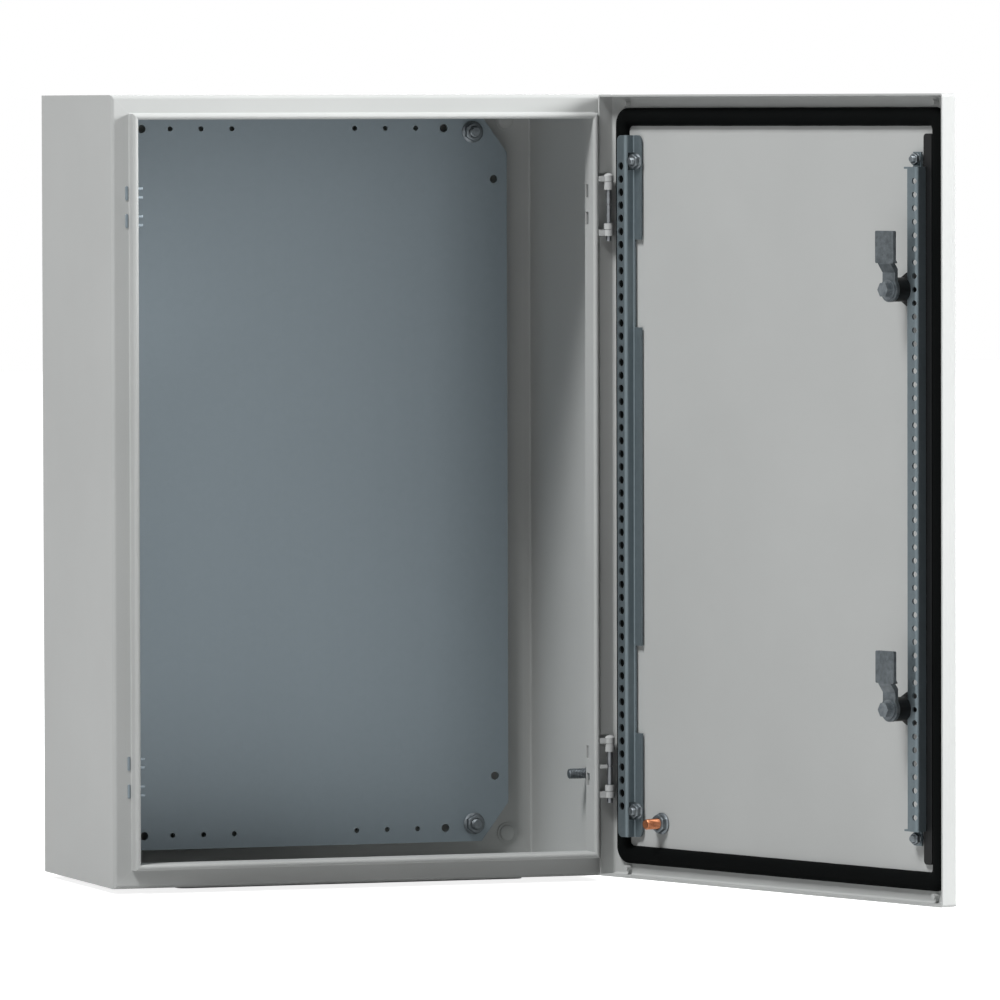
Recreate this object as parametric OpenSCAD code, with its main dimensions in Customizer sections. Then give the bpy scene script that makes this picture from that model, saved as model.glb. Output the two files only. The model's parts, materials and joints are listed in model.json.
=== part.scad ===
// Wall-mounting steel enclosure with a hinged door, a mounting plate and two quarter-turn locks.
// Origin: centre of the four wall holes, on the back face. +X is right as seen from the front,
// +Z is up and the door faces -Y. All sizes are millimetres.

/* [Enclosure] */
// Width over the side walls
width = 400; // [300:10:600]
// Height over the top and bottom walls
height = 600; // [500:10:800]
// Depth from the back face to the front of the closed door
depth = 210; // [150:5:300]
// Thickness of the folded body sheet
body_sheet = 1.5; // [1.2:0.1:1.8]
// Inside radius of the folds
fold_radius = 1.5; // [1:0.1:2]
// Width of the flange that the walls turn along the back
back_flange = 8; // [6:0.5:12]

/* [Rim] */
// Outer wall face to the raised rim around the door opening
rim_setback = 14.3; // [14:0.1:16]
// Height of the rim in front of the flange
rim_height = 11; // [9:0.5:11.5]
// Gap between the two layers of the hemmed rim
hem_gap = 1.4; // [1:0.1:1.8]
// How far the inner layer runs back behind the flange
lip_depth = 9.5; // [8:0.5:12]

/* [Door] */
// Depth of the door from its face to the edge of its returns
door_depth = 15; // [14.5:0.1:15.5]
// Gap between the body flange and the door returns
door_gap = 3.5; // [3.3:0.1:4]
// How much the door is smaller than the body on each side
door_inset = 0.5; // [0.3:0.1:1]
// Thickness of the door sheet
door_sheet = 1.5; // [1.2:0.1:1.8]
// How far the door stands open
door_open = 110; // [30:1:115]

/* [Gasket] */
// Door edge to the gasket
gasket_inset = 10; // [9.5:0.1:11]
// Width of the gasket
gasket_width = 14; // [12:0.5:14]
// Gap between the resting gasket and the tip of the rim
gasket_clear = 0.3; // [0.3:0.1:0.8]
// Radius of the gasket's outer corners
gasket_corner = 12; // [8:0.5:14]

/* [Hinges] */
// Top or bottom of the body to the middle of a hinge
hinge_from_end = 84.5; // [70:0.5:120]
// Outer wall face to the hinge axis
axis_inset = 6; // [6:0.05:6.2]
// Flange to the hinge axis
axis_forward = 9.3; // [9.2:0.05:9.5]
// Length of a hinge
hinge_length = 48; // [44:1:60]
// Diameter of the knuckles
knuckle_d = 7.4; // [6.8:0.1:7.8]
// Length of the domed knuckle at the top of a hinge
top_knuckle = 6.3; // [5:0.1:8]
// Length of every other knuckle
knuckle = 4.8; // [4:0.1:6]
// Diameter of the hinge pin
pin_d = 4.2; // [3.8:0.1:4.4]
// Radial clearance of the pin in the knuckles
pin_clear = 0.03; // [0.02:0.01:0.08]
// Middle of a hinge to each of its two slots
slot_offset = 10.5; // [9:0.5:14]

/* [Back wall] */
// Side of the body to the wall holes
wall_hole_side = 22; // [20:0.5:30]
// Top or bottom of the body to the wall holes
wall_hole_end = 20; // [18:0.5:30]
// Diameter of the wall holes
wall_hole_d = 8.5; // [6.5:0.1:10]
// Diameter of the pressed seat around a wall hole
wall_seat_d = 16; // [14:0.5:20]
// Depth of the pressed seat
wall_seat_rise = 1; // [0.6:0.1:1.4]

/* [Mounting plate] */
// Side of the body to the plate
plate_side_gap = 25; // [21:0.5:35]
// Top or bottom of the body to the plate
plate_end_gap = 15; // [12:0.5:20]
// Thickness of the plate
plate_t = 2; // [1.5:0.1:3]
// Back wall to the plate
plate_standoff = 10.5; // [8:0.5:20]
// Width of the corner that is cut off the plate
corner_cut_w = 22; // [15:0.5:24]
// Height of the corner that is cut off the plate
corner_cut_h = 30; // [20:0.5:32]
// Side of the plate to its studs
stud_side = 28.5; // [26:0.5:34]
// Top or bottom of the plate to its studs
stud_end = 14; // [12:0.5:18]

/* [Gland plate] */
// Length of the cut-out in the bottom wall
gland_w = 245; // [150:5:250]
// Depth of the cut-out in the bottom wall
gland_d = 100; // [60:5:100]
// Border of the gland plate around the cut-out
gland_border = 16; // [14:0.5:17]
// Thickness of the gland plate
gland_t = 1.5; // [1.2:0.1:3]
// Thickness of the gland plate's gasket
gland_seal = 2; // [1:0.5:3]

/* [Door rails] */
// Rim to the hinge-side rail
rail_clear = 1.3; // [1:0.1:2]
// Width of the perforated flange of a rail
rail_flange = 10.5; // [10:0.1:11]
// Width of the hinge-side rail's foot
rail_foot = 10; // [8:0.5:12]
// Door sheet to the back of the rail's foot
rail_rise = 1.5; // [1:0.1:2]
// Door sheet to the top of the hinge-side rail
rail_height = 11; // [10:0.5:12]
// Door sheet to the top of the lock-side rail
lock_rail_height = 12; // [11:0.5:12.5]
// Thickness of the rail sheet
rail_sheet = 1.5; // [1.2:0.1:1.6]
// Top or bottom of the body to the end of the hinge-side rail
rail_end_gap = 31.5; // [30:0.5:40]
// Distance between the holes of a rail
rail_pitch = 10; // [10:1:25]
// Diameter of the holes in the hinge-side rail
rail_hole_d = 6.2; // [4:0.1:6.6]
// Diameter of the holes in the lock-side rail
lock_rail_hole_d = 4.6; // [4:0.1:6]

/* [Locks] */
// Free side of the body to the lock axis
lock_from_side = 47; // [47:0.5:50]
// Top or bottom of the body to the lock axis
lock_from_end = 145; // [100:1:200]
// Diameter of the threaded lock body
lock_body_d = 18; // [16:0.5:18.5]
// Width across the flats of the lock nut
lock_nut_af = 21.5; // [20:0.1:21.8]
// Diameter of the turning core
core_d = 12; // [10:0.5:12]
// Radial clearance of the core in the lock body
core_clear = 0.05; // [0.02:0.01:0.08]
// Thickness of the cam
cam_t = 2.8; // [2:0.1:3]
// Width of the cam's tongue
tongue_w = 20.4; // [16:0.1:24]
// Height of the cam's tongue
tongue_h = 24; // [18:0.5:26]
// Width of the cam's neck
neck_w = 14; // [12:0.5:16]
// Step between the cam's hub and its tongue
cam_step = 4.5; // [3:0.1:5]
// Gap between the locked tongue and the lip that it hooks behind
tongue_clear = 0.5; // [0.4:0.1:1]
// Gap between the locked tongue's tip and the side wall
tip_clear = 2; // [1.8:0.1:4]

/* [Hidden] */
$fn = 48;

// Finishes
PAINT = [0.66, 0.67, 0.67];
DOOR_PAINT = [0.78, 0.79, 0.79];
GALVANISED = [0.45, 0.49, 0.51];
ZINC = [0.68, 0.69, 0.7];
BLACK = [0.06, 0.06, 0.07];
COPPER = [0.75, 0.45, 0.3];

// Metric parts
M8_R = 4;
M6_R = 3;
M5_R = 2.5;
M8_NUT_AF = 13;
M8_NUT_H = 6.5;
M6_NUT_AF = 10;
M5_NUT_AF = 8;
M5_FLANGE_D = 8.8;
M6_FLANGE_D = 12.4;
THREAD_PLAY = 0.05;
EPS = 0.01;

// Body planes, as distances in front of the back face
fold_outer = body_sheet + fold_radius;
flange_at = depth - door_depth - door_gap;
rim_tip = flange_at + rim_height;
lip_back = flange_at - lip_depth;
hem_width = 2 * body_sheet + hem_gap;
rim_inner = rim_setback + hem_width;
root_radius = 1;
wall_inner_x = width / 2 - body_sheet;

// Door planes, as distances in front of the back face
door_back = flange_at + door_gap;
skin_at = depth - door_sheet;
door_w = width - 2 * door_inset;
door_h = height - 2 * door_inset;
door_fold = door_sheet + fold_radius;
return_inner_x = door_w / 2 - door_sheet;
door_corner = 2.5;
pip_from_side = 21;
pip_from_end = 6.5;
pip_d = 4.2;
pip_h = 5;

// Hinge axis, seen from above
axis_x = width / 2 - axis_inset;
axis_y = -(flange_at + axis_forward);
hinge_z = height / 2 - hinge_from_end;
pin_r = pin_d / 2;
bore_r = pin_r + pin_clear;
knuckle_r = knuckle_d / 2;
knuckle_gap = 0.35;
hinge_top = hinge_length / 2;
dome_h = 2.2;
top_door_knuckle = 6;
window_clear = 0.5;
window_depth = 8;

// Hinge leaves
leaf_t = 1.6;
leaf_foot = 5;
arm_half = 1.5;
lug_clear = 0.3;
bore_short = 0.1;
door_leaf_t = 1.2;
door_leaf_from = 3.2;
tab_t = 1.8;
tab_h = 9.6;
tab_reach = 3.2;
slot_play = 0.15;
slot_h = tab_h + 2 * slot_play;
lip_slot_w = 7;
lip_slot_behind = 4.7;

// Mounting plate
plate_w = width - 2 * plate_side_gap;
plate_h = height - 2 * plate_end_gap;
plate_back = body_sheet + plate_standoff;
stud_x = plate_w / 2 - stud_side;
stud_z = plate_h / 2 - stud_end;
plate_hole_edge = 11;
plate_small_from_side = [75, 100, 125];
plate_small_d = 4;
plate_large_from_side = 52;
plate_large_d = 6.4;
plate_side_hole_end = 51;
plate_stud_over = 4;
plate_hole_play = 0.5;
collar_d = 14;
stud_end_at = plate_back + plate_t + M8_NUT_H + plate_stud_over;

// Gland plate under the bottom wall
gland_mid = -(body_sheet + lip_back) / 2;
gland_screw_in = 8;
screw_play = 0.3;
gland_corner = 6;

// Gasket
gasket_t = skin_at - rim_tip - gasket_clear;
gasket_in = door_inset + gasket_inset;
gasket_shift = 2.2;
gasket_crown = 2;
gasket_crown_in = 1.5;

// Edge strip on the lock side of the door
strip_gap = 0.5;
strip_w = 9;
strip_t = 2.6;
strip_end_gap = 30;

// Hinge-side rail
rail_out_x = width / 2 - rim_inner - rail_clear;
rail_web_x = rail_out_x - rail_flange + rail_sheet;
rail_foot_x = rail_web_x - rail_foot;
rail_half = height / 2 - rail_end_gap;
rail_bend = 1;
rail_block = 17.2;
rail_nut_gap = 13.4;
rail_stud_from_edge = 5;
rail_stud_from_end = 19.9;
rail_stud_x = rail_foot_x + rail_stud_from_edge;
rail_stud_z = rail_half - rail_stud_from_end;
rail_corner = 4.5;
notch_from_end = 79.7;
notch_length = 67;
foot_notch_to = rail_half - notch_from_end;
foot_notch_from = foot_notch_to - notch_length;
rail_tab_w = 14;

// Lock-side rail
lock_rail_shorter = 23;
lock_rail_beside = 12.3;
lock_rail_half = rail_half - lock_rail_shorter;
lock_rail_x = -(width / 2 - rim_inner - lock_rail_beside);
lock_rail_hole_in = 3;
lock_tab_w = 9;
lock_tab_h = 11;
lock_stud_in = 9.7;
lock_stud_over = 5.7;
lock_stud_x = lock_rail_x + lock_stud_in;
lock_stud_z = lock_rail_half + lock_stud_over;

// Locks
lock_x = -(width / 2 - lock_from_side);
lock_z = height / 2 - lock_from_end;
lock_head_r = 13;
lock_head_t = 3;
lock_nut_h = 8;
core_head_r = 8.3;
core_head_t = 1.6;
core_r = core_d / 2;
lock_gap = 0.3;
tongue_at = lip_back - tongue_clear;
hub_at = tongue_at + cam_step;
lock_body_end = hub_at + 0.5;
reach = wall_inner_x + lock_x - tip_clear;
hub_r = 9.2;
tail_w = 8;
washer_r = 7.2;
washer_t = 1.2;
bolt_head_h = 5;
bolt_play = 0.05;
notch_clear = 0.4;

// Earth studs
earth_stud_up = 75;
earth_stud_behind = 54.5;
earth_stud_z = earth_stud_up - height / 2;
earth_stud_y = earth_stud_behind - flange_at;
earth_stud_l = 16;
door_stud_beside = 21;
door_stud_up = 43.2;
door_stud_x = rail_foot_x - door_stud_beside;
door_stud_z = door_stud_up - height / 2;
door_stud_l = 17;

// ---------------------------------------------------------------- helpers

// Extrudes an X-Z outline towards the front: it lies from y = -from to y = -(from + thick).
module forward(from, thick) {
    translate([0, -from, 0])
        rotate([90, 0, 0])
            linear_extrude(thick)
                children();
}

// A rectangle about the origin with round corners.
module rounded(w, h, r) {
    square([w - 2 * r, h], center = true);
    square([w, h - 2 * r], center = true);
    for (sx = [-1, 1], sz = [-1, 1])
        translate([sx * (w / 2 - r), sz * (h / 2 - r)])
            circle(r = r);
}

// One bend of a folded sheet, as a ring cut to an angle.
module bend(inside, t, from, sweep) {
    reach_out = 2 * (inside + t);
    intersection() {
        difference() {
            circle(r = inside + t);
            circle(r = inside);
        }
        polygon([
            [0, 0],
            for (k = [0:3])
                reach_out * [cos(from + k * sweep / 3), sin(from + k * sweep / 3)]
        ]);
    }
}

// Section of a folded sheet. It starts along +X with its thickness to the left of the path.
// Each step is [run, turn, inside radius]; a positive turn bends to the left.
module strip(steps, t, i = 0) {
    run = steps[i][0];
    turn = steps[i][1];
    inside = steps[i][2];
    square([run, t]);
    if (i + 1 < len(steps)) {
        pivot = turn > 0 ? t + inside : -inside;
        translate([run, pivot]) {
            bend(inside, t, turn > 0 ? -90 : 90, turn);
            rotate(turn)
                translate([0, -pivot])
                    strip(steps, t, i + 1);
        }
    }
}

// Keeps what lies inside 45 degree mitres: X runs inwards, Z along the wall.
module mitred(along, inward, from, to) {
    intersection() {
        children();
        translate([0, to, 0])
            rotate([90, 0, 0])
                linear_extrude(to - from)
                    polygon([
                        [0, -along / 2],
                        [0, along / 2],
                        [inward, along / 2 - inward],
                        [inward, inward - along / 2]
                    ]);
    }
}

// A bar with six flats, standing on z = 0.
module hex_bar(af, h) {
    cylinder(h = h, d = af / cos(30), $fn = 6);
}

// A hexagon flange nut with a bore, standing on z = 0.
module flange_nut(af, h, bore, flange_d, flange_h) {
    difference() {
        union() {
            cylinder(h = flange_h, d = flange_d);
            hex_bar(af, h);
        }
        translate([0, 0, -1])
            cylinder(h = h + 2, r = bore);
    }
}

// Turns something built along +Z to point to the front, starting at distance `from`.
module facing_front(x, z, from) {
    translate([x, -from, z])
        rotate([90, 0, 0])
            children();
}

// Turns something built along +Z to point to the back, starting at distance `from`.
module facing_back(x, z, from) {
    translate([x, -from, z])
        rotate([-90, 0, 0])
            children();
}

// Swings what is built on the closed door to the opening angle.
module on_door() {
    translate([axis_x, axis_y, 0])
        rotate([0, 0, door_open])
            translate([-axis_x, -axis_y, 0])
                children();
}

// ---------------------------------------------------------------- body

// Section of a wall: X is the distance inwards, Y the distance in front of the back face.
// The path runs up the inner layer of the rim, round the hem, down to the flange, round the
// front fold, along the wall and round the back fold.
module wall_section() {
    hem_outer = body_sheet + hem_gap / 2;
    translate([rim_inner, lip_back])
        rotate(90)
            strip([
                [rim_tip - hem_outer - lip_back, 180, hem_gap / 2],
                [rim_height - hem_outer - root_radius, -90, root_radius],
                [rim_setback - root_radius - fold_outer, 90, fold_radius],
                [flange_at - 2 * fold_outer, 90, fold_radius],
                [back_flange - fold_outer, 0, 0]
            ], body_sheet);
}

// A mitred wall in the place of the left wall.
module wall(along) {
    mirror([0, 1, 0])
        mitred(along, rim_inner + 1, -1, depth)
            linear_extrude(along, center = true)
                wall_section();
}

// Slots in the rim lip and the flange of a side wall, two for each hinge place.
module hinge_slots() {
    for (end = [-1, 1], side = [-1, 1])
        translate([0, 0, end * hinge_z + side * slot_offset]) {
            translate([
                rim_inner - body_sheet - 1,
                -(flange_at - lip_slot_behind) - lip_slot_w / 2,
                -slot_h / 2
            ])
                cube([body_sheet + 2, lip_slot_w, slot_h]);
            translate([rim_setback - root_radius - tab_t - slot_play, -flange_at - 1, -slot_h / 2])
                cube([tab_t + 2 * slot_play, body_sheet + 2, slot_h]);
        }
}

module side_wall() {
    translate([-width / 2, 0, 0])
        difference() {
            wall(height);
            hinge_slots();
        }
}

module left_wall() {
    color(PAINT)
        side_wall();
}

module right_wall() {
    color(PAINT)
        mirror([1, 0, 0])
            side_wall();
}

module end_wall() {
    translate([0, 0, height / 2])
        rotate([0, 90, 0])
            wall(width);
}

module top_wall() {
    color(PAINT)
        end_wall();
}

// Screw places around the gland plate: three along each long side.
module gland_screw_places() {
    for (sx = [-1, 0, 1], sy = [-1, 1])
        translate([
            sx * (gland_w / 2 + gland_border - gland_screw_in),
            gland_mid + sy * (gland_d / 2 + gland_border - gland_screw_in),
            -height / 2
        ])
            children();
}

module bottom_wall() {
    color(PAINT)
        difference() {
            mirror([0, 0, 1])
                end_wall();
            translate([0, gland_mid, -height / 2 - 1])
                linear_extrude(body_sheet + 2)
                    rounded(gland_w, gland_d, gland_corner);
            gland_screw_places()
                translate([0, 0, -1])
                    cylinder(h = body_sheet + 2, r = M5_R + screw_play);
        }
}

module wall_hole_places() {
    for (sx = [-1, 1], sz = [-1, 1])
        facing_front(sx * (width / 2 - wall_hole_side), sz * (height / 2 - wall_hole_end), 0)
            children();
}

module back_wall() {
    color(PAINT)
        difference() {
            union() {
                forward(0, body_sheet)
                    square([width - 2 * back_flange, height - 2 * back_flange], center = true);
                wall_hole_places()
                    cylinder(h = body_sheet + wall_seat_rise, d = wall_seat_d);
            }
            wall_hole_places() {
                translate([0, 0, -1])
                    cylinder(h = body_sheet + wall_seat_rise + 2, d = wall_hole_d);
                translate([0, 0, -1])
                    cylinder(h = 1 + wall_seat_rise, d = wall_seat_d - 2 * body_sheet);
            }
        }
}

// ---------------------------------------------------------------- mounting plate

module stud_places(from) {
    for (sx = [-1, 1], sz = [-1, 1])
        facing_front(sx * stud_x, sz * stud_z, from)
            children();
}

// Weld studs with the collars that the plate rests on.
module plate_studs() {
    color(ZINC)
        stud_places(body_sheet) {
            cylinder(h = plate_standoff, d = collar_d);
            cylinder(h = stud_end_at - body_sheet, r = M8_R);
        }
}

module plate_outline() {
    x = plate_w / 2;
    z = plate_h / 2;
    polygon([
        for (s = [[1, 1], [-1, 1], [-1, -1], [1, -1]], k = [0, 1])
            let (first = (s[0] * s[1] > 0) == (k == 0))
                first ? [s[0] * x, s[1] * (z - corner_cut_h)] : [s[0] * (x - corner_cut_w), s[1] * z]
    ]);
}

// Holes along the top and bottom edges: a small row in two groups and one larger at each end.
module plate_edge_holes() {
    edge_z = plate_h / 2 - plate_hole_edge;
    for (sz = [-1, 1], sx = [-1, 1]) {
        for (x = plate_small_from_side)
            translate([sx * (plate_w / 2 - x), sz * edge_z])
                circle(d = plate_small_d);
        translate([sx * (plate_w / 2 - plate_large_from_side), sz * edge_z])
            circle(d = plate_large_d);
        translate([sx * (plate_w / 2 - plate_hole_edge), sz * (plate_h / 2 - plate_side_hole_end)])
            circle(d = plate_large_d);
    }
}

module mounting_plate() {
    color(GALVANISED)
        forward(plate_back, plate_t)
            difference() {
                plate_outline();
                plate_edge_holes();
                for (sx = [-1, 1], sz = [-1, 1])
                    translate([sx * stud_x, sz * stud_z])
                        circle(r = M8_R + plate_hole_play);
            }
}

module plate_nuts() {
    color(ZINC)
        stud_places(plate_back + plate_t)
            flange_nut(M8_NUT_AF, M8_NUT_H, M8_R + THREAD_PLAY, 17, 1.6);
}

// ---------------------------------------------------------------- gland plate

module gland_frame(inner) {
    difference() {
        rounded(gland_w + 2 * gland_border, gland_d + 2 * gland_border, gland_corner);
        if (inner)
            rounded(gland_w, gland_d, gland_corner);
    }
}

module gland_gasket() {
    color(BLACK)
        difference() {
            translate([0, gland_mid, -height / 2 - gland_seal])
                linear_extrude(gland_seal)
                    gland_frame(true);
            gland_screw_places()
                translate([0, 0, -gland_seal - 1])
                    cylinder(h = gland_seal + 2, r = M5_R + screw_play);
        }
}

module gland_plate() {
    color(PAINT)
        difference() {
            translate([0, gland_mid, -height / 2 - gland_seal - gland_t])
                linear_extrude(gland_t)
                    gland_frame(false);
            gland_screw_places()
                translate([0, 0, -gland_seal - gland_t - 1])
                    cylinder(h = gland_t + 2, r = M5_R + THREAD_PLAY);
        }
}

module gland_screws() {
    below = gland_seal + gland_t;
    head_h = 3.5;
    color(ZINC)
        gland_screw_places() {
            translate([0, 0, -below])
                cylinder(h = below + body_sheet + 1, r = M5_R);
            translate([0, 0, body_sheet])
                difference() {
                    cylinder(h = head_h, d = 9);
                    translate([0, 0, head_h - 2])
                        hex_bar(4, 3);
                }
        }
}

// ---------------------------------------------------------------- hinges

// A length of the hinge section at the axis, between two heights above the hinge's middle.
module at_axis(mid_z, from, to) {
    translate([axis_x, axis_y, mid_z + from])
        linear_extrude(to - from)
            children();
}

// Section of the body leaf against the rim, with its foot on the flange.
module body_leaf_section() {
    rim_x = width / 2 - rim_setback - axis_x;
    translate([rim_x + root_radius, axis_forward - leaf_t])
        square([leaf_foot - root_radius, leaf_t]);
}

// The leaf beside a knuckle also stands up against the rim and carries an arm.
module body_knuckle_section() {
    circle(r = knuckle_r);
    body_arm_section(0);
}

// Foot, upright and arm, with the arm's tip at the given distance from the axis.
module body_arm_section(tip) {
    rim_x = width / 2 - rim_setback - axis_x;
    polygon([
        [rim_x, -arm_half],
        [-tip, -arm_half],
        [-tip, arm_half],
        [rim_x + leaf_t, arm_half],
        [rim_x + leaf_t, axis_forward - leaf_t],
        [rim_x + leaf_foot, axis_forward - leaf_t],
        [rim_x + leaf_foot, axis_forward],
        [rim_x + root_radius, axis_forward],
        [rim_x, axis_forward - root_radius]
    ]);
}

// Leaf on the door return, clear of the body knuckles.
module door_leaf_section() {
    inner = return_inner_x - axis_x;
    front = skin_at - flange_at - axis_forward - fold_radius;
    translate([inner - door_leaf_t, -front])
        square([door_leaf_t, front - door_leaf_from]);
}

module door_knuckle_section() {
    inner = return_inner_x - axis_x;
    neck_t = 2.6;
    neck_l = 5.5;
    circle(r = knuckle_r);
    translate([inner - neck_t, -neck_l])
        square([neck_t, neck_l]);
}

// The round top of the highest knuckle.
module dome(mid_z) {
    translate([axis_x, axis_y, mid_z + hinge_top - dome_h])
        intersection() {
            cylinder(h = dome_h, r = knuckle_r);
            translate([0, 0, dome_h - knuckle_r - 1])
                sphere(r = knuckle_r + 1);
        }
}

// Heights of the knuckles above the middle of a hinge.
top_body = [hinge_top - top_knuckle, hinge_top - dome_h];
top_door = [
    hinge_top - top_knuckle - knuckle_gap - top_door_knuckle,
    hinge_top - top_knuckle - knuckle_gap
];
low_body = [-hinge_top, knuckle - hinge_top];
low_door = [knuckle - hinge_top + knuckle_gap, 2 * knuckle - hinge_top];

// The lower hinge has a lug halfway that steadies the pin.
module body_hinge(mid_z, with_lug) {
    lug_half = 1.4;
    rim_x = width / 2 - rim_setback;
    color(DOOR_PAINT)
        difference() {
            union() {
                at_axis(mid_z, -hinge_top, hinge_top - dome_h)
                    body_leaf_section();
                for (span = [top_body, low_body])
                    at_axis(mid_z, span[0], span[1])
                        body_knuckle_section();
                if (with_lug)
                    at_axis(mid_z, -lug_half, lug_half)
                        body_arm_section(pin_r + lug_clear);
                dome(mid_z);
                for (side = [-1, 1])
                    translate([
                        rim_x + root_radius,
                        -flange_at - leaf_t,
                        mid_z + side * slot_offset - tab_h / 2
                    ])
                        cube([tab_t, leaf_t + body_sheet + tab_reach, tab_h]);
            }
            translate([axis_x, axis_y, mid_z - hinge_top - 1])
                cylinder(h = hinge_length + 1 - dome_h - bore_short, r = bore_r);
        }
}

module door_hinge(mid_z) {
    color(DOOR_PAINT)
        on_door()
            difference() {
                union() {
                    at_axis(mid_z, -hinge_top, hinge_top)
                        door_leaf_section();
                    for (span = [top_door, low_door])
                        at_axis(mid_z, span[0], span[1])
                            door_knuckle_section();
                }
                translate([axis_x, axis_y, mid_z - hinge_top - 1])
                    cylinder(h = hinge_length + 2, r = bore_r);
            }
}

// Captive pin: it stands out below the hinge and has a waist in the middle.
module hinge_pin(mid_z) {
    pin_below = 4;
    waist_h = 1.6;
    color(ZINC)
        translate([axis_x, axis_y, mid_z])
            difference() {
                translate([0, 0, -hinge_top - pin_below])
                    cylinder(h = hinge_length + pin_below - dome_h - bore_short - 0.3, r = pin_r);
                translate([0, 0, -waist_h / 2])
                    difference() {
                        cylinder(h = waist_h, r = pin_r + 1);
                        translate([0, 0, -1])
                            cylinder(h = waist_h + 2, r = pin_r - 0.5);
                    }
            }
}

module body_hinge_upper() {
    body_hinge(hinge_z, false);
}

module body_hinge_lower() {
    body_hinge(-hinge_z, true);
}

module hinge_pin_upper() {
    hinge_pin(hinge_z);
}

module hinge_pin_lower() {
    hinge_pin(-hinge_z);
}

module door_hinge_upper() {
    door_hinge(hinge_z);
}

module door_hinge_lower() {
    door_hinge(-hinge_z);
}

// Snap-in plugs in the flange slots of the side that has no hinges. Each goes in through the flange,
// runs behind it and stands out of the lip slot with two barbs.
module hinge_slot_plugs() {
    cap_h = 0.6;
    cap_over = 0.5;
    barb_reach = 7.5;
    barb_h = 2.6;
    barb_t = 2.4;
    barb_mid = 3.3;
    slot_x = rim_setback - root_radius - tab_t;
    barb_at = flange_at - lip_slot_behind - barb_t / 2;
    color(BLACK)
        translate([-width / 2, 0, 0])
            for (end = [-1, 1], side = [-1, 1])
                translate([slot_x, 0, end * hinge_z + side * slot_offset]) {
                    translate([0, -flange_at, -tab_h / 2])
                        cube([tab_t, flange_at - barb_at, tab_h]);
                    translate([-cap_over, -flange_at - cap_h, -tab_h / 2 - cap_over])
                        cube([tab_t + cap_over, cap_h, tab_h + 2 * cap_over]);
                    for (barb = [-1, 1])
                        translate([0, -barb_at - barb_t, barb * barb_mid - barb_h / 2])
                            cube([rim_inner - slot_x + barb_reach, barb_t, barb_h]);
                }
}

// ---------------------------------------------------------------- body earth stud

module body_earth_stud() {
    color(ZINC)
        translate([wall_inner_x, earth_stud_y, earth_stud_z])
            rotate([0, -90, 0]) {
                cylinder(h = earth_stud_l, r = M8_R);
                cylinder(h = 1, d = 11);
            }
}

// ---------------------------------------------------------------- door

// Section of a door edge: X runs inwards from the edge, Y forwards from the return's edge.
module door_edge_section() {
    skin_run = 6;
    translate([door_fold + skin_run, door_depth])
        rotate(180)
            strip([
                [skin_run, 90, fold_radius],
                [door_depth - door_fold, 0, 0]
            ], door_sheet);
}

// A mitred door edge in the place of the left one.
module door_edge(along) {
    translate([0, -door_back, 0])
        mirror([0, 1, 0])
            mitred(along, door_fold + 7, -1, door_depth + 1)
                linear_extrude(along, center = true)
                    door_edge_section();
}

// Skin and four mitred returns, before the corners are ground round.
module door_pan() {
    for (s = [0, 1]) {
        mirror([s, 0, 0])
            translate([-door_w / 2, 0, 0])
                door_edge(door_h);
        mirror([0, 0, s])
            translate([0, 0, door_h / 2])
                rotate([0, 90, 0])
                    door_edge(door_w);
    }
    forward(skin_at, door_sheet)
        square([door_w - 2 * door_fold, door_h - 2 * door_fold], center = true);
}

module door_shell() {
    window = hinge_length + 2 * window_clear;
    color(DOOR_PAINT)
        on_door()
            difference() {
                union() {
                    intersection() {
                        door_pan();
                        forward(door_back - 1, door_depth + 2)
                            rounded(door_w, door_h, door_corner);
                    }
                    for (sx = [-1, 1], sz = [-1, 1])
                        facing_back(
                            sx * (door_w / 2 - pip_from_side),
                            sz * (door_h / 2 - pip_from_end),
                            skin_at
                        )
                            cylinder(h = pip_h, d = pip_d);
                }
                for (s = [-1, 1]) {
                    facing_front(lock_x, s * lock_z, skin_at - 1)
                        cylinder(h = door_sheet + 2, d = lock_body_d + 0.2);
                    translate([return_inner_x - 1, -door_back - window_depth, s * hinge_z - window / 2])
                        cube([door_sheet + 2, window_depth + 1, window]);
                }
            }
}

// One layer of the gasket: a ring drawn in on both sides, reaching further out beside the hinges.
module gasket_ring(from, thick, draw_in) {
    inner_corner = 4;
    mid_x = gasket_shift / 2;
    forward(from, thick)
        difference() {
            translate([mid_x, 0])
                rounded(
                    width - 2 * (gasket_in + draw_in) + gasket_shift,
                    height - 2 * (gasket_in + draw_in),
                    gasket_corner - draw_in
                );
            translate([mid_x, 0])
                rounded(
                    width - 2 * (gasket_in + gasket_width - draw_in) + gasket_shift,
                    height - 2 * (gasket_in + gasket_width - draw_in),
                    inner_corner + draw_in
                );
        }
}

module door_gasket() {
    top = skin_at - gasket_t;
    color(BLACK)
        on_door() {
            gasket_ring(top, gasket_crown, gasket_crown_in);
            gasket_ring(top + gasket_crown, gasket_t - gasket_crown, 0);
        }
}

module door_edge_strip() {
    x = -(width / 2 - gasket_in - gasket_width - strip_gap - strip_w / 2);
    color(BLACK)
        on_door()
            translate([x, 0, 0])
                forward(skin_at - strip_t, strip_t)
                    rounded(strip_w, height - 2 * strip_end_gap, 3);
}

// ---------------------------------------------------------------- door rails

// Z section of the hinge-side rail: X is the row's X, Y the height off the door sheet.
module rail_section() {
    outer = rail_sheet + rail_bend;
    translate([rail_foot_x, rail_rise])
        strip([
            [rail_foot - outer, 90, rail_bend],
            [rail_height - rail_sheet - rail_rise - outer - rail_bend, -90, rail_bend],
            [rail_flange - rail_sheet - rail_bend, 0, 0]
        ], rail_sheet);
}

// Lays a section whose Y is the height off the door sheet along Z.
module off_skin(half) {
    translate([0, -skin_at, 0])
        linear_extrude(2 * half, center = true)
            children();
}

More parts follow.
